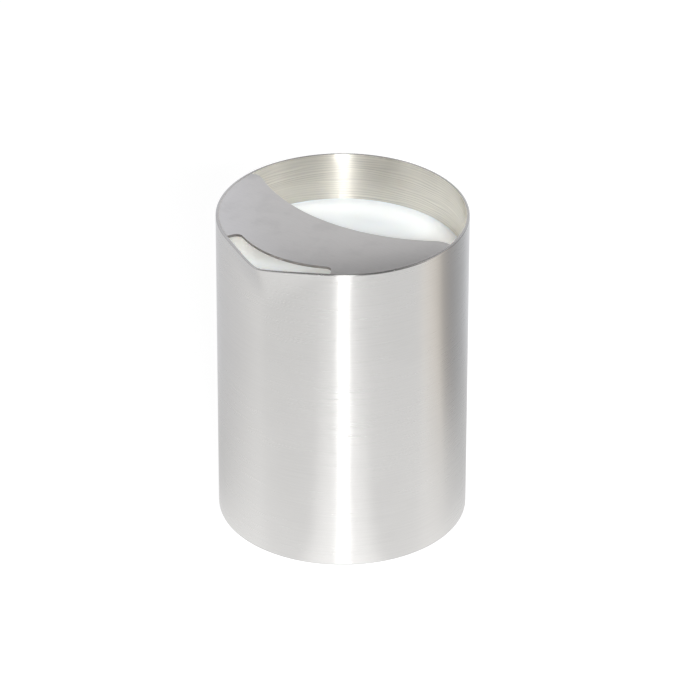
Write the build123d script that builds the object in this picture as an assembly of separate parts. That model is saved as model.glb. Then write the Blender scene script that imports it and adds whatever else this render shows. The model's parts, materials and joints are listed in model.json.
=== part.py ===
from build123d import *
from math import cos, radians, sin, sqrt
import os

# Creamer pitcher in thin steel: a straight tube with a beak pressed out of its rim, a flat base
# let into the tube's foot, and a crescent guard plate let into its mouth, both welded in and
# ground flush. Sizes are in millimetres and angles in degrees. The pitcher stands on z = 0, the
# tube's axis is Z, and the beak points along -Y.

# Tube
body_diameter = 68.0
body_height = 90.0
wall = 0.8
foot_round = 0.3        # outer edge that the tube stands on
rim_round = 0.35        # outer edge of the rim

# Beak
beak_reach = 4.1        # how far its tip stands out of the round wall, at the rim
beak_depth = 14.0       # how far down the wall its ridge runs
beak_half_angle = 28.0  # from the ridge to where a flank meets the round wall, at the rim
beak_softness = 0.08    # rounding of the ridge, as a share of the half angle
beak_levels = 12        # outlines that the beak is drawn through, from its foot to the rim
run_in_levels = 3       # round outlines below those, which keep its foot flush with the tube
flank_points = 14       # points of an outline on each side of the ridge

# Base
base_thickness = 1.2

# Guard plate
plate_thickness = 0.8
rear_edge_apex = 6.3        # how far in front of the axis its rear edge, a wide arc, passes
shoulder_setback = 3.3      # how far behind the axis the plate's two straight ends lie
shoulder_width = 2.9        # of each straight end, from the tube to the arc
shoulder_round = 6.0        # corner between the arc and each end
slot_edge_radius = 29.4     # front edge of the plate along the pour slot
slot_half_angle = 31.0
slot_corner_round = 1.7

# Fit
weld_gap = 0.02         # what is let into the tube is this much smaller in radius

body_radius = body_diameter / 2
bore_radius = body_radius - wall
let_in_radius = bore_radius - weld_gap
beak_foot = body_height - beak_depth
level_rise = beak_depth / (beak_levels - 1)
overshoot = 5.0         # how far a cutting shape reaches past what it cuts
on_its_foot = (Align.CENTER, Align.CENTER, Align.MIN)


# Share of the half angle from the ridge, eased near the ridge so that it isn't sharp
def share_from_ridge(angle):
    share = angle / beak_half_angle
    return sqrt(share**2 + beak_softness**2) - beak_softness


# How far the beak stands out of the round wall. Its flanks narrow to a point down the ridge.
def beak_bulge(angle, height):
    share_left = 1 - (body_height - height) / beak_depth - share_from_ridge(angle)
    return beak_reach * max(0, share_left) ** 2


# Angle from the ridge beyond which the wall is round, up to one level past the rim
def beak_side_angle():
    widest_share = 1 + level_rise / beak_depth + beak_softness
    return beak_half_angle * sqrt(widest_share**2 - beak_softness**2)


# Point of the wall at one angle and height, for a surface whose round part has this radius
def wall_point(radius, angle, height):
    reach = radius + beak_bulge(angle, height)
    return (reach * sin(radians(angle)), -reach * cos(radians(angle)))


# Outline of that surface at one height: a curve across the beak and an arc round the back
def tube_outline(radius, height):
    side_angle = beak_side_angle()
    steps = range(-flank_points, flank_points + 1)
    shares = [step * abs(step) / flank_points**2 for step in steps]
    points = [wall_point(radius, side_angle * share, height) for share in shares]
    turn = radians(side_angle)
    tangents = [(cos(turn), -sin(turn)), (cos(turn), sin(turn))]
    front = Edge.make_spline(points, tangents=tangents, parameters=shares)
    back = ThreePointArc(points[-1], (0, radius), points[0])
    return Plane.XY.offset(height) * make_face([front, back])


# Solid inside that surface, from the given foot to one level past the rim. The loft's lowest
# levels only steady its curves, so they are cut off and a plain cylinder takes their place.
def filled_tube(radius, foot):
    levels = range(-run_in_levels, beak_levels + 1)
    heights = [beak_foot + level_rise * level for level in levels]
    seam = heights[run_in_levels - 1]
    beaked_part = loft([tube_outline(radius, height) for height in heights])
    beaked_part = split(beaked_part, Plane.XY.offset(seam), keep=Keep.TOP)
    round_part = Pos(0, 0, foot) * Cylinder(radius, seam - foot, align=on_its_foot)
    return round_part + beaked_part


def make_body_shell():
    shell = filled_tube(body_radius, 0) - filled_tube(bore_radius, -overshoot)
    shell = split(shell, Plane.XY.offset(body_height), keep=Keep.BOTTOM)
    foot_edge = shell.edges().group_by(Axis.Z)[0].sort_by(SortBy.LENGTH)[-1]
    shell = fillet(foot_edge, foot_round)
    rim_face = shell.faces().sort_by(Axis.Z)[-1]
    return fillet(rim_face.outer_wire().edges(), rim_round)


def make_base_disc():
    return Cylinder(let_in_radius, base_thickness, align=on_its_foot)


# Slot between the plate's front edge and the beak, with rounded inner corners
def pour_slot():
    reach = body_radius + overshoot
    half_turn = radians(slot_half_angle)
    side = reach / cos(half_turn)
    corner = (side * sin(half_turn), -side * cos(half_turn))
    sector = make_face(Polyline((0, 0), corner, (-corner[0], corner[1]), close=True))
    slot = sector - Circle(slot_edge_radius)
    inner_corners = slot.vertices().sort_by(Axis.Y)[-2:]
    return fillet(inner_corners, slot_corner_round)


def make_guard_plate():
    end_reach = sqrt(let_in_radius**2 - shoulder_setback**2)
    shoulder_reach = end_reach - shoulder_width
    ends = [(side * end_reach, shoulder_setback) for side in (-1, 1)]
    shoulders = [(side * shoulder_reach, shoulder_setback) for side in (-1, 1)]
    rear_edge = ThreePointArc(shoulders[0], (0, -rear_edge_apex), shoulders[1])
    tube_side = ThreePointArc(ends[1], (0, -let_in_radius), ends[0])
    straight_ends = [Line(shoulders[1], ends[1]), Line(ends[0], shoulders[0])]
    outline = make_face([rear_edge, tube_side] + straight_ends)
    rear_corners = outline.vertices().group_by(Axis.Y)[-1].sort_by(Axis.X)
    outline = fillet(rear_corners[1:-1], shoulder_round) - pour_slot()
    return Pos(0, 0, body_height - plate_thickness) * extrude(outline, plate_thickness)


os.makedirs("parts", exist_ok=True)
export_step(make_body_shell(), "parts/body_shell.step")
export_step(make_base_disc(), "parts/base_disc.step")
export_step(make_guard_plate(), "parts/guard_plate.step")
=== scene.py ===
import json
from math import asin, atan2, cos, degrees, pi, radians, sin, sqrt

import bmesh
import bpy
from mathutils import Euler, Matrix, Vector

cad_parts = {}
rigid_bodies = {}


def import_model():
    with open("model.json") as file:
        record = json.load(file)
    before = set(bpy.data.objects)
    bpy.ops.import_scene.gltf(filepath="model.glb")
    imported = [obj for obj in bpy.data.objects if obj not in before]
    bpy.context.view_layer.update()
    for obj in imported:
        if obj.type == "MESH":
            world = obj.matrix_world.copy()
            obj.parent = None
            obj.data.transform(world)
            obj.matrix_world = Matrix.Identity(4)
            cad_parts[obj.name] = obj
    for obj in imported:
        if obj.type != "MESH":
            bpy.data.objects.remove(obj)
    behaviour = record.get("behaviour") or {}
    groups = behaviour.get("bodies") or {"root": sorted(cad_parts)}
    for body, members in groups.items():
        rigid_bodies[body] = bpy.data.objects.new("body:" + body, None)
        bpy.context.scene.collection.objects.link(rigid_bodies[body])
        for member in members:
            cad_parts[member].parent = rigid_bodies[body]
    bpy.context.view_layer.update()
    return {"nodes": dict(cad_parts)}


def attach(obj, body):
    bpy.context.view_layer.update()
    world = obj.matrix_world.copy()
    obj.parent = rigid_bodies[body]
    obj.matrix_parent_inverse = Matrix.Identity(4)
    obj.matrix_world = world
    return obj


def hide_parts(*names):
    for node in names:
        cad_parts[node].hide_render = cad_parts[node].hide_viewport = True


# Brushed steel creamer with a pressed beak, a crescent guard plate and milk in it. The pieces'
# sizes are in millimetres and are scaled by mm; the studio's are in metres, and angles in degrees.

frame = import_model()
mm = 0.001
sceneObjects = bpy.context.scene.collection.objects
sharpAngle = 35.0  # edges that bend by more than this are sharp
supportGap = 0.05  # rows of points this near to a rounded edge keep the flats flat
print("frame loaded:", sorted(frame["nodes"]))


# inputs maps a socket's name or number to a value, or to the socket that feeds it
def addNode(tree, kind, inputs=None, **settings):
    made = tree.nodes.new(kind)
    for name, value in settings.items():
        setattr(made, name, value)
    for name, value in (inputs or {}).items():
        if isinstance(value, bpy.types.NodeSocket):
            tree.links.new(value, made.inputs[name])
        else:
            made.inputs[name].default_value = value
    return made


def calc(tree, operation, *values):
    return addNode(tree, "ShaderNodeMath", dict(enumerate(values)), operation=operation).outputs[0]


def vectorCalc(tree, operation, *values):
    return addNode(tree, "ShaderNodeVectorMath", dict(enumerate(values)), operation=operation).outputs


def separate(tree, vector):
    return addNode(tree, "ShaderNodeSeparateXYZ", {0: vector}).outputs


def combine(tree, x, y, z):
    return addNode(tree, "ShaderNodeCombineXYZ", {0: x, 1: y, 2: z}).outputs[0]


def noise(tree, vector, scale, detail, roughness):
    return addNode(tree, "ShaderNodeTexNoise", {
        "Vector": vector, "Scale": scale, "Detail": detail, "Roughness": roughness}).outputs[0]


def mixValues(tree, factor, first, second):
    return addNode(tree, "ShaderNodeMix", {"Factor": factor, "A": first, "B": second},
                   data_type="FLOAT").outputs[0]


def smoothStep(tree, value, start, end):
    return addNode(tree, "ShaderNodeMapRange", {"Value": value, "From Min": start, "From Max": end},
                   interpolation_type="SMOOTHSTEP").outputs["Result"]


def remap(tree, value, low, high, fromLow=0.0, fromHigh=1.0):
    return addNode(tree, "ShaderNodeMapRange", {
        "Value": value, "From Min": fromLow, "From Max": fromHigh,
        "To Min": low, "To Max": high}).outputs["Result"]


# The part of a vector that is square to the axis
def acrossAxis(tree, vector):
    return vectorCalc(tree, "MULTIPLY", vector, (1.0, 1.0, 0.0))[0]


# Distance from the axis, as a share of a radius
def shareFromAxis(tree, place, radius):
    reach = vectorCalc(tree, "LENGTH", acrossAxis(tree, place))["Value"]
    return calc(tree, "DIVIDE", reach, radius)


# Colours at places from 0 to 1 along a value
def colourRamp(tree, value, stops):
    made = addNode(tree, "ShaderNodeValToRGB", {"Fac": value})
    elements = made.color_ramp.elements
    elements.remove(elements[1])
    for i, (spot, colour) in enumerate(stops):
        element = elements.new(spot) if i else elements[0]
        element.position = spot
        element.color = (*colour, 1.0)
    return made.outputs["Color"]


def greyRamp(tree, value, stops):
    return colourRamp(tree, value, [(spot, (tone, tone, tone)) for spot, tone in stops])


def addSockets(tree, direction, sockets):
    for name, kind in sockets.items():
        tree.interface.new_socket(name, in_out=direction, socket_type="NodeSocket" + kind)


def newShaderGroup(name, inputs, outputs):
    tree = bpy.data.node_groups.new(name, "ShaderNodeTree")
    addSockets(tree, "INPUT", inputs)
    addSockets(tree, "OUTPUT", outputs)
    given = tree.nodes.new("NodeGroupInput").outputs
    result = tree.nodes.new("NodeGroupOutput").inputs
    return tree, given, result


def placeGroup(tree, group, inputs):
    return addNode(tree, "ShaderNodeGroup", inputs, node_tree=group).outputs


def newMaterial(name):
    material = bpy.data.materials.new(name)
    material.use_nodes = True
    tree = material.node_tree
    tree.nodes.clear()
    return material, tree


turnedLines = {
    "pitch": 0.72,                       # from one lathe line to the next
    "wanderCells": (50.0, 50.0, 420.0),  # cells to a metre of the noise that bends the lines
    "wander": 3.0,                       # pitches that a line shifts by as the noise goes from 0 to 1
    "noiseRange": (0.3, 0.7),            # between these values of it the lines come up
    "swing": (0.02, 0.32),               # of a line where it is faintest, and where it is clearest
    "depth": 0.02}                       # of a line, at a relief of 1


# Fine lines left by the abrasive, and the even ones of a lathe tool. Stretch is how many noise
# cells there are to a metre, and Turned the lathe lines' share.
def makeBrushedGrain(s):
    tree, given, result = newShaderGroup(
        "brushedGrain",
        {"Vector": "Vector", "Stretch": "Vector", "Pitch": "Float", "Turned": "Float",
         "Tone Depth": "Float", "Sharpness": "Float", "Roughness": "Float",
         "Roughness Spread": "Float", "Relief": "Float"},
        {"Tone": "Float", "Roughness": "Float", "Normal": "Vector"})
    middle = 0.5  # of the lines' values
    scaled = vectorCalc(tree, "MULTIPLY", given["Vector"], given["Stretch"])[0]
    brushed = noise(tree, scaled, scale=1.0, detail=2.0, roughness=0.6)

    # the lathe lines wander a little, and fade in and out
    slow = vectorCalc(tree, "MULTIPLY", given["Vector"], s["wanderCells"])[0]
    wander = noise(tree, slow, scale=1.0, detail=1.0, roughness=0.5)
    turns = calc(tree, "DIVIDE", separate(tree, given["Vector"])["Z"], given["Pitch"])
    turns = calc(tree, "ADD", turns, calc(tree, "MULTIPLY", wander, s["wander"]))
    wave = calc(tree, "SINE", calc(tree, "MULTIPLY", turns, 2 * pi))
    wave = calc(tree, "MULTIPLY", wave, remap(tree, wander, *s["swing"], *s["noiseRange"]))
    turned = calc(tree, "ADD", wave, middle)

    lines = mixValues(tree, given["Turned"], brushed, turned)
    centred = calc(tree, "SUBTRACT", lines, middle)
    strength = calc(tree, "MULTIPLY", centred, given["Sharpness"])
    strength = calc(tree, "MAXIMUM", calc(tree, "MINIMUM", strength, 1.0), -1.0)
    tone = calc(tree, "ADD", calc(tree, "MULTIPLY", strength, given["Tone Depth"]), 1.0)
    tree.links.new(tone, result["Tone"])
    spread = calc(tree, "MULTIPLY", centred, given["Roughness Spread"])
    tree.links.new(calc(tree, "ADD", given["Roughness"], spread), result["Roughness"])
    bump = addNode(tree, "ShaderNodeBump", {
        "Height": lines, "Strength": given["Relief"], "Distance": s["depth"] * mm})
    tree.links.new(bump.outputs["Normal"], result["Normal"])
    return tree


# Faint cloudy marks from handling and wiping, as a factor for the tone and as added roughness
def makeHandlingMarks():
    tree, given, result = newShaderGroup(
        "handlingMarks", {"Vector": "Vector", "Size": "Float", "Depth": "Float"},
        {"Tone": "Float", "Dullness": "Float"})
    scale = calc(tree, "DIVIDE", 1.0, given["Size"])
    cloud = noise(tree, given["Vector"], scale, detail=4.0, roughness=0.6)
    noMark, fullMark = 0.45, 0.75  # values of the cloud
    marks = smoothStep(tree, cloud, noMark, fullMark)
    depth = calc(tree, "MULTIPLY", marks, given["Depth"])
    tree.links.new(calc(tree, "SUBTRACT", 1.0, depth), result["Tone"])
    tree.links.new(depth, result["Dullness"])
    return tree


brushedGrain = makeBrushedGrain(turnedLines)
handlingMarks = makeHandlingMarks()

# A finish adds its own values to one of these; bow is how far the sheet drops in front
plainFinish = {"turned": 0.0, "bow": 0.0, "anisotropic": 0.0, "turn": 0.0, "alongUv": False}
roundFinish = {"turned": 0.0, "bow": 0.0, "anisotropic": 1.0, "turn": 0.25, "alongUv": True}

steelFinishes = {
    # stretch counts cells along X, Y and Z; toneDepth is how far the tone swings either way, and
    # spread how far the roughness does
    "outerBrushed": {
        **roundFinish, "colour": (0.748, 0.738, 0.724), "stretch": (60.0, 60.0, 4200.0),
        "toneDepth": 0.028, "sharpness": 5.0, "roughness": 0.28, "spread": 0.05, "relief": 0.013,
        "markSize": 30.0, "markDepth": 0.015},
    "innerTurned": {
        **roundFinish, "colour": (0.875, 0.842, 0.768), "stretch": (30.0, 30.0, 4000.0),
        "toneDepth": 0.175, "sharpness": 4.5, "roughness": 0.345, "spread": 0.12, "relief": 0.08,
        "markSize": 20.0, "markDepth": 0.04, "turned": 0.55},
    # the ground bands at the rim and the foot: less rough than the wall, and darker, which is painted
    # shade for the dark line along the rim and the foot
    "groundRimWithPaintedShade": {
        **plainFinish, "colour": (0.56, 0.55, 0.545), "stretch": (60.0, 60.0, 60.0),
        "toneDepth": 0.05, "sharpness": 4.0, "roughness": 0.18, "spread": 0.06, "relief": 0.02,
        "markSize": 20.0, "markDepth": 0.03, "bow": 1.1},
    "satinPlate": {
        **plainFinish, "colour": (0.715, 0.70, 0.695), "stretch": (300.0, 2600.0, 300.0),
        "toneDepth": 0.03, "sharpness": 4.0, "roughness": 0.34, "spread": 0.12, "relief": 0.06,
        "markSize": 7.0, "markDepth": 0.06, "bow": 1.1},
    "cutEdge": {
        **plainFinish, "colour": (0.50, 0.485, 0.51), "stretch": (300.0, 300.0, 300.0),
        "toneDepth": 0.05, "sharpness": 4.0, "roughness": 0.40, "spread": 0.10, "relief": 0.06,
        "markSize": 5.0, "markDepth": 0.05},
    "groundBase": {
        **plainFinish, "colour": (0.66, 0.65, 0.64), "stretch": (300.0, 2600.0, 300.0),
        "toneDepth": 0.04, "sharpness": 4.0, "roughness": 0.36, "spread": 0.15, "relief": 0.10,
        "markSize": 12.0, "markDepth": 0.06},
}

# The drop grows with a power of the distance from the axis, and comes in between two places on Y
bowShape = {"power": 4.0, "starts": 12.0, "full": -20.0}


def makeSteel(name, finish, radius):
    material, tree = newMaterial(name)
    place = addNode(tree, "ShaderNodeTexCoord").outputs["Object"]
    grain = placeGroup(tree, brushedGrain, {
        "Vector": place, "Stretch": finish["stretch"], "Pitch": turnedLines["pitch"] * mm,
        "Turned": finish["turned"], "Tone Depth": finish["toneDepth"],
        "Sharpness": finish["sharpness"], "Roughness": finish["roughness"],
        "Roughness Spread": finish["spread"], "Relief": finish["relief"]})
    marks = placeGroup(tree, handlingMarks, {
        "Vector": place, "Size": finish["markSize"] * mm, "Depth": finish["markDepth"]})
    tone = calc(tree, "MULTIPLY", grain["Tone"], marks["Tone"])
    normal = grain["Normal"]
    if finish["bow"]:
        # in front the sheet rolls off a little towards the weld between the rim and the plate
        share = shareFromAxis(tree, place, radius * mm)
        drop = calc(tree, "POWER", share, bowShape["power"])
        drop = calc(tree, "MULTIPLY", drop, -finish["bow"] * mm)
        inFront = smoothStep(tree, separate(tree, place)["Y"], bowShape["starts"] * mm,
                             bowShape["full"] * mm)
        normal = addNode(tree, "ShaderNodeBump", {
            "Height": calc(tree, "MULTIPLY", drop, inFront), "Distance": 1.0,
            "Normal": normal}).outputs["Normal"]
    colour = addNode(tree, "ShaderNodeVectorMath", {0: finish["colour"], "Scale": tone},
                     operation="SCALE").outputs[0]
    roughness = calc(tree, "ADD", grain["Roughness"], marks["Dullness"])
    steel = addNode(tree, "ShaderNodeBsdfPrincipled", {
        "Base Color": colour, "Metallic": 1.0, "Roughness": roughness, "Normal": normal,
        "Anisotropic": finish["anisotropic"], "Anisotropic Rotation": finish["turn"]})
    if finish["alongUv"]:
        along = addNode(tree, "ShaderNodeTangent", direction_type="UV_MAP", uv_map="UVMap")
        tree.links.new(along.outputs[0], steel.inputs["Tangent"])
    addNode(tree, "ShaderNodeOutputMaterial", {"Surface": steel.outputs[0]})
    return material


bodySizes = {
    "radius": 34.0, "height": 90.0, "wall": 0.8, "footRound": 0.3, "rimRound": 0.35,
    "boreRound": 0.07, "beakReach": 4.1, "beakDepth": 14.0, "beakHalfAngle": 28.0,
    "beakSoftness": 0.08,
    "edgeBand": 0.34,  # height of the ground bands at the rim and the foot
    # columns of faces; at 1 they are even, and below it more of them are near the beak
    "stepsAround": 320, "frontCrowding": 0.4,
    # rows of faces on the plain wall, on the beak's height and round each rounded edge
    "wallRows": 10, "beakRows": 28, "boreRows": 3, "rimRows": 8, "footRows": 6}

steels = {name: makeSteel(name, finish, bodySizes["radius"])
          for name, finish in steelFinishes.items()}
print("steel finishes made")


# Turned pieces: a section is carried round the axis, with the beak pressed out of it. The
# section's points give the inset from the outer face as x, the height as z, and as y the share
# of the way round the section, for the UV map.
def makeTurnedTree():
    tree = bpy.data.node_groups.new("turnedSheet", "GeometryNodeTree")
    addSockets(tree, "INPUT", {
        "Section": "Geometry", "Outer Radius": "Float", "Rim Height": "Float",
        "Beak Reach": "Float", "Beak Depth": "Float", "Beak Half Angle": "Float",
        "Beak Softness": "Float", "Steps Around": "Int", "Front Crowding": "Float",
        "Edge Band": "Float", "Outer Finish": "Material", "Inner Finish": "Material",
        "Rim Finish": "Material"})
    addSockets(tree, "OUTPUT", {"Piece": "Geometry"})
    given = tree.nodes.new("NodeGroupInput").outputs
    counted = addNode(tree, "GeometryNodeAttributeDomainSize", {"Geometry": given["Section"]},
                      component="MESH").outputs["Point Count"]
    columns = calc(tree, "ADD", given["Steps Around"], 1)
    # a flat grid from -1 to 1 along X and from -0.5 to 0.5 along Y, rolled up below
    grid = addNode(tree, "GeometryNodeMeshGrid", {
        "Size X": 2.0, "Size Y": 1.0, "Vertices X": columns, "Vertices Y": counted}).outputs["Mesh"]
    spot = addNode(tree, "GeometryNodeInputPosition").outputs[0]
    spotParts = separate(tree, spot)

    # angle from the beak, with more columns near it
    share = spotParts["X"]
    cubed = calc(tree, "POWER", calc(tree, "ABSOLUTE", share), 3.0)
    cubed = calc(tree, "MULTIPLY", cubed, calc(tree, "SIGN", share))
    evenPart = calc(tree, "MULTIPLY", share, given["Front Crowding"])
    widePart = calc(tree, "MULTIPLY", cubed, calc(tree, "SUBTRACT", 1.0, given["Front Crowding"]))
    angle = calc(tree, "MULTIPLY", calc(tree, "ADD", evenPart, widePart), pi)

    # the section's point for this row
    lastRow = calc(tree, "SUBTRACT", counted, 1.0)
    row = calc(tree, "MULTIPLY", calc(tree, "ADD", spotParts["Y"], 0.5), lastRow)
    row = calc(tree, "ROUND", row)
    sampled = addNode(tree, "GeometryNodeSampleIndex", {
        "Geometry": given["Section"], "Value": spot, "Index": row},
        data_type="FLOAT_VECTOR", domain="POINT").outputs[0]
    sectionParts = separate(tree, sampled)

    # how far the beak stands out of the round wall there
    fromRidge = calc(tree, "DIVIDE", angle, given["Beak Half Angle"])
    squares = calc(tree, "ADD", calc(tree, "POWER", calc(tree, "ABSOLUTE", fromRidge), 2.0),
                   calc(tree, "POWER", given["Beak Softness"], 2.0))
    eased = calc(tree, "SUBTRACT", calc(tree, "SQRT", squares), given["Beak Softness"])
    below = calc(tree, "SUBTRACT", given["Rim Height"], sectionParts["Z"])
    below = calc(tree, "DIVIDE", below, given["Beak Depth"])
    left = calc(tree, "SUBTRACT", calc(tree, "SUBTRACT", 1.0, below), eased)
    left = calc(tree, "MAXIMUM", left, 0.0)
    bulge = calc(tree, "MULTIPLY", calc(tree, "MULTIPLY", left, left), given["Beak Reach"])

    radius = calc(tree, "SUBTRACT", given["Outer Radius"], sectionParts["X"])
    radius = calc(tree, "ADD", radius, bulge)
    acrossX = calc(tree, "MULTIPLY", radius, calc(tree, "SINE", angle))
    backward = calc(tree, "MULTIPLY", radius, calc(tree, "COSINE", angle))
    place = combine(tree, acrossX, calc(tree, "MULTIPLY", backward, -1.0), sectionParts["Z"])
    uvSpot = combine(tree, calc(tree, "DIVIDE", angle, 2 * pi), sectionParts["Y"], 0.0)
    mapped = addNode(tree, "GeometryNodeStoreNamedAttribute", {
        "Geometry": grid, "Name": "UVMap", "Value": uvSpot}, data_type="FLOAT2", domain="CORNER")
    moved = addNode(tree, "GeometryNodeSetPosition", {
        "Geometry": mapped.outputs[0], "Position": place})
    seamGap = 0.001  # points nearer than this are one, along the seam and at a disc's middle
    closed = addNode(tree, "GeometryNodeMergeByDistance", {
        "Geometry": moved.outputs[0], "Distance": seamGap * mm})

    # sharp where two faces meet at a clear angle, smooth elsewhere
    bend = addNode(tree, "GeometryNodeInputMeshEdgeAngle").outputs["Unsigned Angle"]
    isSharp = calc(tree, "GREATER_THAN", bend, radians(sharpAngle))
    smooth = addNode(tree, "GeometryNodeSetShadeSmooth", {
        "Geometry": closed.outputs[0], "Shade Smooth": True}, domain="FACE")
    edged = addNode(tree, "GeometryNodeSetShadeSmooth", {
        "Geometry": smooth.outputs[0], "Selection": isSharp, "Shade Smooth": False}, domain="EDGE")

    # one finish outside, one in the bore, and one on the rounded bands at the rim and the foot, whose
    # darker tone is painted shade
    normal = addNode(tree, "GeometryNodeInputNormal").outputs[0]
    radial = vectorCalc(tree, "NORMALIZE", acrossAxis(tree, spot))[0]
    outwards = vectorCalc(tree, "DOT_PRODUCT", normal, radial)["Value"]
    innerLimit = -0.2  # faces that look towards the axis by more than this are in the bore
    isInner = calc(tree, "LESS_THAN", outwards, innerLimit)
    fromFoot = separate(tree, spot)["Z"]
    fromRim = calc(tree, "SUBTRACT", given["Rim Height"], fromFoot)
    inBand = calc(tree, "LESS_THAN", calc(tree, "MINIMUM", fromRim, fromFoot), given["Edge Band"])
    isEdge = calc(tree, "MULTIPLY", inBand, calc(tree, "SUBTRACT", 1.0, isInner))
    piece = addNode(tree, "GeometryNodeRealizeInstances", {"Geometry": edged.outputs[0]})
    piece = addNode(tree, "GeometryNodeSetMaterial", {
        "Geometry": piece.outputs[0], "Material": given["Outer Finish"]})
    piece = addNode(tree, "GeometryNodeSetMaterial", {
        "Geometry": piece.outputs[0], "Selection": isInner, "Material": given["Inner Finish"]})
    piece = addNode(tree, "GeometryNodeSetMaterial", {
        "Geometry": piece.outputs[0], "Selection": isEdge, "Material": given["Rim Finish"]})
    addNode(tree, "NodeGroupOutput", {0: piece.outputs[0]})
    return tree


turnedTree = makeTurnedTree()


# Runs the tree on a section, in millimetres, and keeps the result as a plain mesh
def makeTurned(name, section, inputs):
    shortestStep = 1e-4  # so that two points in one place still differ on the UV map
    lengths = [0.0]
    for before, after in zip(section, section[1:]):
        lengths.append(lengths[-1] + max(shortestStep, (Vector(after) - Vector(before)).length))
    points = [(inset * mm, run / lengths[-1], height * mm)
              for (inset, height), run in zip(section, lengths)]
    mesh = bpy.data.meshes.new(name + "Section")
    mesh.from_pydata(points, [], [])
    source = bpy.data.objects.new(name + "Source", mesh)
    sceneObjects.link(source)
    modifier = source.modifiers.new("turned", "NODES")
    modifier.node_group = turnedTree
    for item in turnedTree.interface.items_tree:
        if item.in_out == "INPUT" and item.name in inputs:
            modifier[item.identifier] = inputs[item.name]
    evaluated = source.evaluated_get(bpy.context.evaluated_depsgraph_get())
    result = bpy.data.meshes.new_from_object(evaluated)
    result.materials.pop(index=0)  # the empty slot that the grid starts with
    source.modifiers.remove(modifier)
    bpy.data.objects.remove(source)
    result.name = name
    piece = bpy.data.objects.new(name, result)
    sceneObjects.link(piece)
    return piece


# A plain round piece has one finish and no beak, whose half angle and softness then only have
# to be more than nothing
def makeRound(name, section, radius, steps, finish):
    return makeTurned(name, section, {
        "Outer Radius": radius * mm, "Rim Height": bodySizes["height"] * mm, "Beak Reach": 0.0,
        "Beak Depth": bodySizes["beakDepth"] * mm, "Beak Half Angle": 1.0, "Beak Softness": 0.1,
        "Steps Around": steps, "Front Crowding": 1.0, "Edge Band": 0.0, "Outer Finish": finish,
        "Inner Finish": finish, "Rim Finish": finish})


# Points of a rounded corner of a section, from one angle to another
def roundCorner(centre, radius, startAngle, endAngle, steps):
    angles = [radians(startAngle + (endAngle - startAngle) * i / steps) for i in range(steps + 1)]
    return [(centre[0] + radius * cos(a), centre[1] + radius * sin(a)) for a in angles]


# Evenly spaced values between two ends, without the ends
def between(start, end, count):
    return [start + (end - start) * i / count for i in range(1, count)]


# Section of the sheet, drawn up the bore, over the rim, down the outside and under the foot, and
# then turned round so that its faces look outwards
def sheetSection(s):
    rim = s["height"]
    wall = s["wall"]
    boreRound = s["boreRound"]
    rimRound = s["rimRound"]
    footRound = s["footRound"]
    beakFoot = rim - s["beakDepth"]
    belowRim = rim - rimRound - supportGap
    section = roundCorner((wall - boreRound, boreRound), boreRound, -90, 0, s["boreRows"])
    section += [(wall, z) for z in between(boreRound, beakFoot, s["wallRows"])]
    section += [(wall, z) for z in between(beakFoot, rim - boreRound, s["beakRows"])]
    section += roundCorner((wall - boreRound, rim - boreRound), boreRound, 0, 90, s["boreRows"])
    section += roundCorner((rimRound, rim - rimRound), rimRound, 90, 180, s["rimRows"])
    section += [(0.0, belowRim)]
    section += [(0.0, z) for z in between(belowRim, beakFoot, s["beakRows"])]
    section += [(0.0, z) for z in between(beakFoot, footRound, s["wallRows"])]
    section += [(0.0, footRound + supportGap)]
    section += roundCorner((footRound, footRound), footRound, 180, 270, s["footRows"])
    return (section + section[:1])[::-1]


bodyPiece = makeTurned("brushedBody", sheetSection(bodySizes), {
    "Outer Radius": bodySizes["radius"] * mm, "Rim Height": bodySizes["height"] * mm,
    "Beak Reach": bodySizes["beakReach"] * mm, "Beak Depth": bodySizes["beakDepth"] * mm,
    "Beak Half Angle": radians(bodySizes["beakHalfAngle"]),
    "Beak Softness": bodySizes["beakSoftness"], "Steps Around": bodySizes["stepsAround"],
    "Front Crowding": bodySizes["frontCrowding"], "Edge Band": bodySizes["edgeBand"] * mm,
    "Outer Finish": steels["outerBrushed"], "Inner Finish": steels["innerTurned"],
    "Rim Finish": steels["groundRimWithPaintedShade"]})
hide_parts("body_shell")
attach(bodyPiece, "root")
print("body made,", len(bodyPiece.data.polygons), "faces")


baseSizes = {"radius": 33.18, "thickness": 1.2, "edgeRound": 0.1, "stepsAround": 180,
             "rows": 12, "edgeRows": 3}


# Section of the base, from its middle underneath, round its edge and back to its middle on top
def discSection(s):
    middle = s["radius"]  # insets are from the edge, so the middle is the furthest
    edge = s["edgeRound"]
    support = edge + supportGap
    section = [(middle, 0.0)]
    section += [(x, 0.0) for x in between(middle, support, s["rows"])]
    section += [(support, 0.0)]
    section += roundCorner((edge, edge), edge, 270, 180, s["edgeRows"])
    section += roundCorner((edge, s["thickness"] - edge), edge, 180, 90, s["edgeRows"])
    section += [(support, s["thickness"])]
    section += [(x, s["thickness"]) for x in between(support, middle, s["rows"])]
    return section + [(middle, s["thickness"])]


basePiece = makeRound("groundBase", discSection(baseSizes), baseSizes["radius"],
                      baseSizes["stepsAround"], steels["groundBase"])
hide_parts("base_disc")
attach(basePiece, "root")
print("base made,", len(basePiece.data.polygons), "faces")


plateSizes = {
    "radius": 33.18, "thickness": 0.8, "rearApex": 6.3, "setback": 3.3, "shoulderWidth": 2.9,
    "shoulderRound": 6.0, "slotRadius": 29.4, "slotHalfAngle": 31.0, "slotCornerRound": 1.7,
    "edgeBevel": 0.07,
    # spacing of the outline's points
    "wideStep": 0.6, "slotStep": 0.5, "shoulderStep": 0.25, "cornerStep": 0.15}


# Points of an arc about a centre; angles are from -Y
def arcPoints(centre, radius, start, end, step):
    count = max(4, round(abs(radians(end - start)) * radius / step))
    turns = [radians(start + (end - start) * i / count) for i in range(count + 1)]
    return [(centre[0] + radius * sin(t), centre[1] - radius * cos(t)) for t in turns]


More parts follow.
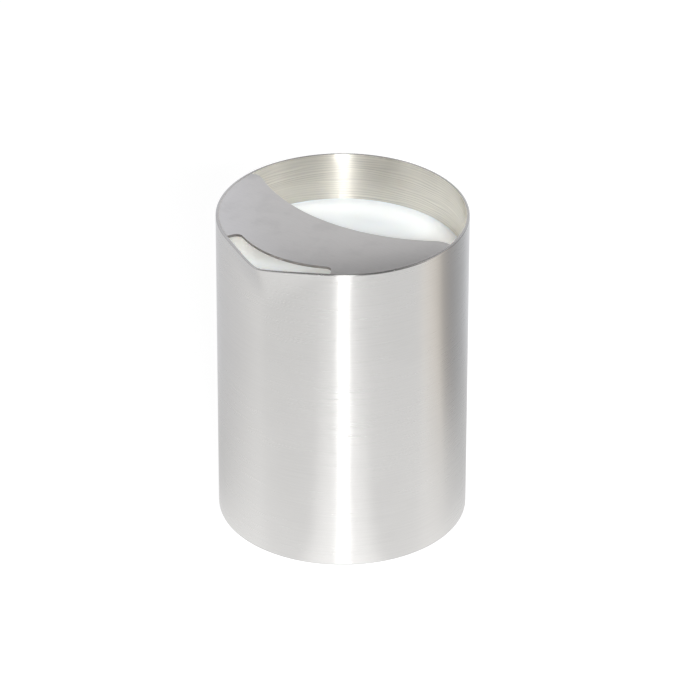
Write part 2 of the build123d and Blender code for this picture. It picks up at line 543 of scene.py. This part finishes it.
def angleFrom(centre, point):
    return degrees(atan2(point[0] - centre[0], centre[1] - point[1]))


# Right half of the plate's outline, from the middle of its rear edge round to the middle of
# the slot; the left half mirrors it
def plateHalf(s):
    axis = (0.0, 0.0)
    endReach = sqrt(s["radius"]**2 - s["setback"]**2)
    shoulder = endReach - s["shoulderWidth"]
    rise = s["rearApex"] + s["setback"]
    rearRadius = (shoulder**2 + rise**2) / (2 * rise)
    rearCentre = (0.0, rearRadius - s["rearApex"])
    turnY = s["setback"] - s["shoulderRound"]
    turnX = sqrt((rearRadius + s["shoulderRound"])**2 - (turnY - rearCentre[1])**2)
    shoulderCentre = (turnX, turnY)
    rearEnd = angleFrom(rearCentre, shoulderCentre)
    half = arcPoints(rearCentre, rearRadius, 0.0, rearEnd, s["wideStep"])[:-1]
    half += arcPoints(shoulderCentre, s["shoulderRound"], rearEnd - 180, -180, s["shoulderStep"])
    half += arcPoints(axis, s["radius"], angleFrom(axis, (endReach, s["setback"])),
                      s["slotHalfAngle"], s["wideStep"])
    cornerReach = s["slotRadius"] + s["slotCornerRound"]
    cornerAngle = s["slotHalfAngle"] - degrees(asin(s["slotCornerRound"] / cornerReach))
    turn = radians(cornerAngle)
    cornerCentre = (cornerReach * sin(turn), -cornerReach * cos(turn))
    half += arcPoints(cornerCentre, s["slotCornerRound"], s["slotHalfAngle"] + 90,
                      cornerAngle + 180, s["cornerStep"])
    half += arcPoints(axis, s["slotRadius"], cornerAngle, 0.0, s["slotStep"])[1:]
    return half


def makePlate(s):
    half = plateHalf(s)
    outline = half + [(-x, y) for x, y in half[::-1][1:-1]]
    top = bodySizes["height"]
    shape = bmesh.new()
    face = shape.faces.new([shape.verts.new((x * mm, y * mm, top * mm)) for x, y in outline])
    pulled = bmesh.ops.extrude_face_region(shape, geom=[face])
    lowered = [item for item in pulled["geom"] if isinstance(item, bmesh.types.BMVert)]
    bmesh.ops.translate(shape, vec=(0, 0, -s["thickness"] * mm), verts=lowered)
    bmesh.ops.recalc_face_normals(shape, faces=shape.faces[:])
    sameHeight = 1e-7
    outer = [edge for edge in shape.edges
             if abs(edge.verts[0].co.z - edge.verts[1].co.z) < sameHeight]
    bmesh.ops.bevel(shape, geom=outer, offset=s["edgeBevel"] * mm, segments=2, profile=0.5,
                    affect="EDGES")
    for face in shape.faces:
        upright = abs(face.normal.z)
        face.smooth = upright < 0.99               # all but the top and the underside
        face.material_index = int(upright < 0.5)   # the sides take the cut edge's finish
    for edge in shape.edges:
        edge.smooth = edge.calc_face_angle(0) < radians(sharpAngle)
    mesh = bpy.data.meshes.new("guardPlate")
    shape.to_mesh(mesh)
    shape.free()
    mesh.materials.append(steels["satinPlate"])
    mesh.materials.append(steels["cutEdge"])
    piece = bpy.data.objects.new("guardPlate", mesh)
    sceneObjects.link(piece)
    return piece


platePiece = makePlate(plateSizes)
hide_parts("guard_plate")
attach(platePiece, "root")
print("guard plate made,", len(platePiece.data.polygons), "faces")


# The milk is only there for the picture. Its glow is painted light: it stands for light scattered
# inside it and, in its warm colour, for light bounced from the steel.
milkSizes = {
    "radius": 33.15, "level": 76.1, "climb": 0.15, "climbWidth": 1.0, "depth": 20.0,
    "stepsAround": 160, "rows": 10, "climbRows": 10}
milkLook = {
    "colour": (0.85, 0.895, 0.935), "roughness": 0.22, "gloss": 0.5, "ior": 1.35,
    "scatter": 0.25, "scatterReach": (2.0, 1.5, 1.0), "paintedGlowColour": (1.0, 0.955, 0.87),
    # by share of the way from the axis to the wall: less under the plate and at the wall, as painted
    # shade
    "paintedGlows": [(0.0, 0.24), (0.50, 0.25), (0.67, 0.27), (0.80, 0.40), (0.88, 0.43), (0.95, 0.32),
              (1.0, 0.12)]}


def makeMilkMaterial(radius, look):
    material, tree = newMaterial("milk")
    place = addNode(tree, "ShaderNodeTexCoord").outputs["Object"]
    # painted light, with painted shade under the plate and at the wall
    glow = greyRamp(tree, shareFromAxis(tree, place, radius * mm), look["paintedGlows"])
    milk = addNode(tree, "ShaderNodeBsdfPrincipled", {
        "Base Color": (*look["colour"], 1.0), "Roughness": look["roughness"], "IOR": look["ior"],
        "Specular IOR Level": look["gloss"], "Subsurface Weight": look["scatter"],
        "Subsurface Radius": [reach * mm for reach in look["scatterReach"]],
        "Emission Color": (*look["paintedGlowColour"], 1.0), "Emission Strength": glow})
    addNode(tree, "ShaderNodeOutputMaterial", {"Surface": milk.outputs[0]})
    return material


# Section of the milk, which climbs the wall a little
def milkSection(s):
    bottom = s["level"] - s["depth"]
    section = [(s["radius"], bottom), (0.0, bottom)]
    for i in range(s["climbRows"] + 1):
        share = i / s["climbRows"]
        section.append((s["climbWidth"] * share, s["level"] + s["climb"] * (1 - share)**3))
    section += [(x, s["level"]) for x in between(s["climbWidth"], s["radius"], s["rows"])]
    return section + [(s["radius"], s["level"])]


milkPiece = makeRound("milk", milkSection(milkSizes), milkSizes["radius"],
                      milkSizes["stepsAround"], makeMilkMaterial(milkSizes["radius"], milkLook))
print("milk poured")


cameraTurn = 36.5  # how far the camera stands round from the beak, towards +X


# A point at an azimuth from the camera's side, a distance from the axis and a height
def studioPoint(azimuth, distance, height):
    turn = radians(cameraTurn + azimuth)
    return Vector((distance * sin(turn), -distance * cos(turn), height))


# 1 where something is seen in gloss or through glass
def seenInGloss(tree, path):
    return calc(tree, "MAXIMUM", path["Is Glossy Ray"], path["Is Transmission Ray"])


# A soft-edged panel in a direction of the world: 1 inside, 0 outside
def makePanelGroup():
    tree, given, result = newShaderGroup(
        "studioPanel",
        {"Direction": "Vector", "Azimuth": "Float", "Width": "Float", "Low": "Float",
         "High": "Float", "Soft": "Float"}, {"Mask": "Float"})
    turned = addNode(tree, "ShaderNodeVectorRotate", {
        "Vector": given["Direction"], "Angle": given["Azimuth"]}, rotation_type="Z_AXIS").outputs[0]
    parts = separate(tree, turned)
    forward = calc(tree, "MULTIPLY", parts["Y"], -1.0)
    off = calc(tree, "ABSOLUTE", calc(tree, "ARCTAN2", parts["X"], forward))
    off = calc(tree, "DEGREES", off)
    height = calc(tree, "DEGREES", calc(tree, "ARCSINE", parts["Z"]))
    halfWidth = calc(tree, "MULTIPLY", given["Width"], 0.5)
    side = smoothStep(tree, off, calc(tree, "ADD", halfWidth, given["Soft"]), halfWidth)
    belowLow = calc(tree, "SUBTRACT", given["Low"], given["Soft"])
    aboveHigh = calc(tree, "ADD", given["High"], given["Soft"])
    lowSide = smoothStep(tree, height, belowLow, given["Low"])
    topSide = smoothStep(tree, height, aboveHigh, given["High"])
    mask = calc(tree, "MULTIPLY", calc(tree, "MULTIPLY", side, lowSide), topSide)
    tree.links.new(mask, result["Mask"])
    return tree


worldLook = {
    "ambient": 0.30,
    # brightness of the surroundings in the steel, by elevation, on the camera's side and behind
    "frontTones": [(-90.0, 1.0), (0.0, 1.0), (12.0, 0.18), (80.0, 0.18), (88.0, 0.8)],
    "backTones": [(-90.0, 1.0), (23.0, 1.0), (33.0, 0.60), (43.0, 0.15), (80.0, 0.18), (88.0, 0.8)],
    "sideBlend": 0.35,  # the front turns into the back between this far in front and behind
    # added to it: azimuth from the camera's side, elevations, and brightness
    "panels": {
        "glow": {
            "azimuth": 0.7, "width": 16.0, "low": -90.0, "high": -5.0, "soft": 40.0, "level": 0.72},
        "strip": {
            "azimuth": 1.1, "width": 6.0, "low": -5.0, "high": 3.0, "soft": 3.0, "level": 25.0},
        "highStrip": {
            "azimuth": 4.0, "width": 20.0, "low": 50.0, "high": 80.0, "soft": 4.0, "level": 4.0}}}


def makeWorld(s):
    world = bpy.data.worlds.new("studio")
    bpy.context.scene.world = world
    world.use_nodes = True
    world.cycles.sampling_method = "NONE"
    tree = world.node_tree
    tree.nodes.clear()
    panelGroup = makePanelGroup()
    direction = addNode(tree, "ShaderNodeTexCoord").outputs["Generated"]
    upward = separate(tree, direction)["Z"]
    elevation = calc(tree, "DEGREES", calc(tree, "ARCSINE", upward))
    elevation = remap(tree, elevation, 0.0, 1.0, -90.0, 90.0)
    front, back = [
        greyRamp(tree, elevation, [((angle + 90) / 180, tone) for angle, tone in s[name]])
        for name in ("frontTones", "backTones")]
    forward = vectorCalc(tree, "DOT_PRODUCT", direction, studioPoint(0.0, 1.0, 0.0))["Value"]
    inFront = smoothStep(tree, forward, -s["sideBlend"], s["sideBlend"])
    level = mixValues(tree, inFront, back, front)
    for p in s["panels"].values():
        # a panel's azimuth is turned back to face -Y, where the group measures from
        mask = placeGroup(tree, panelGroup, {
            "Direction": direction, "Azimuth": -radians(cameraTurn + p["azimuth"]),
            "Width": p["width"], "Low": p["low"], "High": p["high"], "Soft": p["soft"]})["Mask"]
        level = calc(tree, "ADD", level, calc(tree, "MULTIPLY", mask, p["level"]))
    path = addNode(tree, "ShaderNodeLightPath").outputs
    plain = calc(tree, "MAXIMUM", path["Is Camera Ray"], s["ambient"])
    strength = mixValues(tree, seenInGloss(tree, path), plain, level)
    background = addNode(tree, "ShaderNodeBackground", {"Color": (1, 1, 1, 1), "Strength": strength})
    addNode(tree, "ShaderNodeOutputWorld", {"Surface": background.outputs[0]})


floorLook = {
    "size": 6.0, "tone": 0.80, "roughness": 0.9, "gloss": 0.1,
    # seen directly or in the steel, most of the floor's tone is a glow
    "seenShare": 0.35, "seenGlow": 0.90, "mirroredShare": 0.1,
    # the glow that the steel sees is painted light: it goes from one near the foot to another far
    # out, and the near one is stronger on the camera's side than behind
    "near": 0.03, "paintedNearGlow": 1.0, "paintedSideGlow": 0.60, "far": 0.20, "farGlow": 0.80,
    "azimuth": 0.5, "sideBlend": 0.7,
    # and a painted pool of light lies in front of the pitcher, seen only in the steel
    "paintedPoolGlow": 0.30, "frontNear": 0.09, "frontFar": 0.18, "frontHalfAngle": 24.0}


def makeFloor(s):
    half = s["size"] / 2
    mesh = bpy.data.meshes.new("floor")
    mesh.from_pydata([(-half, -half, 0), (half, -half, 0), (half, half, 0), (-half, half, 0)],
                     [], [(0, 1, 2, 3)])
    material, tree = newMaterial("paleFloor")
    path = addNode(tree, "ShaderNodeLightPath").outputs
    mirrored = seenInGloss(tree, path)
    share = calc(tree, "MULTIPLY", remap(tree, path["Is Camera Ray"], 1.0, s["seenShare"]),
                 remap(tree, mirrored, 1.0, s["mirroredShare"]))
    tone = calc(tree, "MULTIPLY", share, s["tone"])

    place = addNode(tree, "ShaderNodeTexCoord").outputs["Object"]
    reach = vectorCalc(tree, "LENGTH", place)["Value"]
    ahead = vectorCalc(tree, "NORMALIZE", place)[0]
    ahead = vectorCalc(tree, "DOT_PRODUCT", ahead, studioPoint(s["azimuth"], 1.0, 0.0))["Value"]
    inFront = smoothStep(tree, ahead, -s["sideBlend"], s["sideBlend"])
    # painted light seen only in the steel: brighter near the foot and on the camera's side, with a
    # painted pool of light in front
    paintedNearGlow = remap(tree, inFront, s["paintedSideGlow"], s["paintedNearGlow"])
    glow = remap(tree, reach, paintedNearGlow, s["farGlow"], s["near"], s["far"])
    paintedPool = smoothStep(tree, ahead, cos(radians(s["frontHalfAngle"])), 1.0)
    paintedPool = calc(tree, "MULTIPLY", paintedPool, smoothStep(tree, reach, s["frontFar"], s["frontNear"]))
    glow = calc(tree, "ADD", glow, calc(tree, "MULTIPLY", paintedPool, s["paintedPoolGlow"]))
    glow = calc(tree, "ADD", calc(tree, "MULTIPLY", path["Is Camera Ray"], s["seenGlow"]),
                calc(tree, "MULTIPLY", mirrored, glow))
    paper = addNode(tree, "ShaderNodeBsdfPrincipled", {
        "Base Color": combine(tree, tone, tone, tone), "Roughness": s["roughness"],
        "Specular IOR Level": s["gloss"], "Emission Color": (1, 1, 1, 1),
        "Emission Strength": glow})
    addNode(tree, "ShaderNodeOutputMaterial", {"Surface": paper.outputs[0]})
    material.cycles.emission_sampling = "NONE"
    mesh.materials.append(material)
    floor = bpy.data.objects.new("floor", mesh)
    sceneObjects.link(floor)
    return floor


# Upright cards seen only in gloss. Their tones run away from the camera's side, and a card that
# leans shifts them with the height. What is nearer to a card than nearest doesn't mirror it.
cardLooks = {
    "darkCard": {
        "azimuth": 106.0, "distance": 0.088, "width": 0.16, "height": 0.30, "bottom": 0.001,
        "lean": 0.11, "level": 1.0, "nearest": 0.0,
        "tones": [(0.01, (0.95, 0.94, 0.92)), (0.08, (0.92, 0.89, 0.85)), (0.18, (0.87, 0.83, 0.78)),
                  (0.24, (0.85, 0.80, 0.735)), (0.285, (0.55, 0.525, 0.49)),
                  (0.376, (0.41, 0.395, 0.393)), (0.460, (0.43, 0.435, 0.44)),
                  (0.535, (0.50, 0.505, 0.52)), (0.645, (0.60, 0.61, 0.63)),
                  (0.755, (0.78, 0.80, 0.83)), (0.87, (0.92, 0.94, 0.98))]},
    "greyCard": {
        "azimuth": -115.0, "distance": 0.082, "width": 0.20, "height": 0.30, "bottom": 0.001,
        "lean": 0.0, "level": 1.0, "nearest": 0.0,
        "tones": [(0.127, (0.89, 0.89, 0.89)), (0.369, (0.78, 0.78, 0.79)),
                  (0.534, (0.735, 0.74, 0.755)), (0.689, (0.785, 0.795, 0.825))]},
    # stands in the mouth, lower than the plate, for the bright band down the bore, and too near
    # to the milk for the milk to mirror it
    "boreCard": {
        "azimuth": -20.0, "distance": 0.001, "width": 0.0018, "height": 0.0128, "bottom": 0.0765,
        "lean": 0.0, "level": 11.5, "nearest": 0.028,
        "tones": [(0.0, (1.0, 1.0, 1.0))]}}
leanPivot = 0.047  # height at which a lean shifts nothing


def makeCard(name, s):
    mid = studioPoint(s["azimuth"], s["distance"], s["bottom"])
    away = Vector((0, 0, 1)).cross(mid).normalized() * (1 if s["azimuth"] > 0 else -1)
    half = away * s["width"] / 2
    up = Vector((0, 0, s["height"]))
    mesh = bpy.data.meshes.new(name)
    mesh.from_pydata([mid - half, mid + half, mid + half + up, mid - half + up], [], [(0, 1, 2, 3)])
    material, tree = newMaterial(name)
    place = addNode(tree, "ShaderNodeTexCoord").outputs["Object"]
    leaning = away + Vector((0, 0, s["lean"]))
    across = vectorCalc(tree, "DOT_PRODUCT", place, leaning)["Value"]
    across = calc(tree, "SUBTRACT", across, s["lean"] * leanPivot)
    across = remap(tree, across, 0.0, 1.0, -s["width"] / 2, s["width"] / 2)
    shade = addNode(tree, "ShaderNodeEmission", {
        "Color": colourRamp(tree, across, s["tones"]), "Strength": s["level"]})
    clear = addNode(tree, "ShaderNodeBsdfTransparent")
    length = addNode(tree, "ShaderNodeLightPath").outputs["Ray Length"]
    isFar = calc(tree, "GREATER_THAN", length, s["nearest"])
    surface = addNode(tree, "ShaderNodeMixShader", {
        0: isFar, 1: clear.outputs[0], 2: shade.outputs[0]})
    addNode(tree, "ShaderNodeOutputMaterial", {"Surface": surface.outputs[0]})
    material.cycles.emission_sampling = "NONE"
    mesh.materials.append(material)
    card = bpy.data.objects.new(name, mesh)
    sceneObjects.link(card)
    card.visible_camera = card.visible_diffuse = card.visible_shadow = False
    return card


# Seen from the pitcher it is about as high as the camera, and a little further towards +X
lampLook = {
    "azimuth": 12.0, "elevation": 31.3, "distance": 1.1, "width": 0.36, "height": 0.08,
    "power": 10.3, "colour": (0.90, 0.96, 1.0)}


def makeLamp(name, s):
    data = bpy.data.lights.new(name, "AREA")
    data.shape = "RECTANGLE"
    data.size = s["width"]
    data.size_y = s["height"]
    data.energy = s["power"]
    data.color = s["colour"]
    lamp = bpy.data.objects.new(name, data)
    rise = radians(s["elevation"])
    lamp.location = studioPoint(s["azimuth"], s["distance"] * cos(rise), s["distance"] * sin(rise))
    lamp.rotation_euler = lamp.location.to_track_quat("Z", "Y").to_euler()
    lamp.visible_camera = lamp.visible_glossy = False
    sceneObjects.link(lamp)


makeWorld(worldLook)
makeFloor(floorLook)
for cardName, cardLook in cardLooks.items():
    makeCard(cardName, cardLook)
makeLamp("softLamp", lampLook)


# Fitted to the rim and the foot; the lens and the sensor are in millimetres
cameraFit = {
    "distance": 1.22163, "side": 0.00204, "height": 0.76350, "tilt": 30.374, "roll": 0.146,
    "lens": 268.26, "sensor": 36.0, "clipNear": 0.1, "clipFar": 20.0}


def makeCamera(s):
    data = bpy.data.cameras.new("photoView")
    data.lens = s["lens"]
    data.sensor_width = s["sensor"]
    data.clip_start = s["clipNear"]
    data.clip_end = s["clipFar"]
    camera = bpy.data.objects.new("photoView", data)
    turn = Matrix.Rotation(radians(cameraTurn), 4, "Z")
    look = Euler((radians(90 - s["tilt"]), 0, 0)).to_matrix().to_4x4()
    place = Matrix.Translation(Vector((s["side"], -s["distance"], s["height"])))
    camera.matrix_world = turn @ place @ look @ Matrix.Rotation(radians(s["roll"]), 4, "Z")
    sceneObjects.link(camera)
    bpy.context.scene.camera = camera


makeCamera(cameraFit)
bpy.context.scene.view_settings.view_transform = "Standard"
print("studio and camera made")
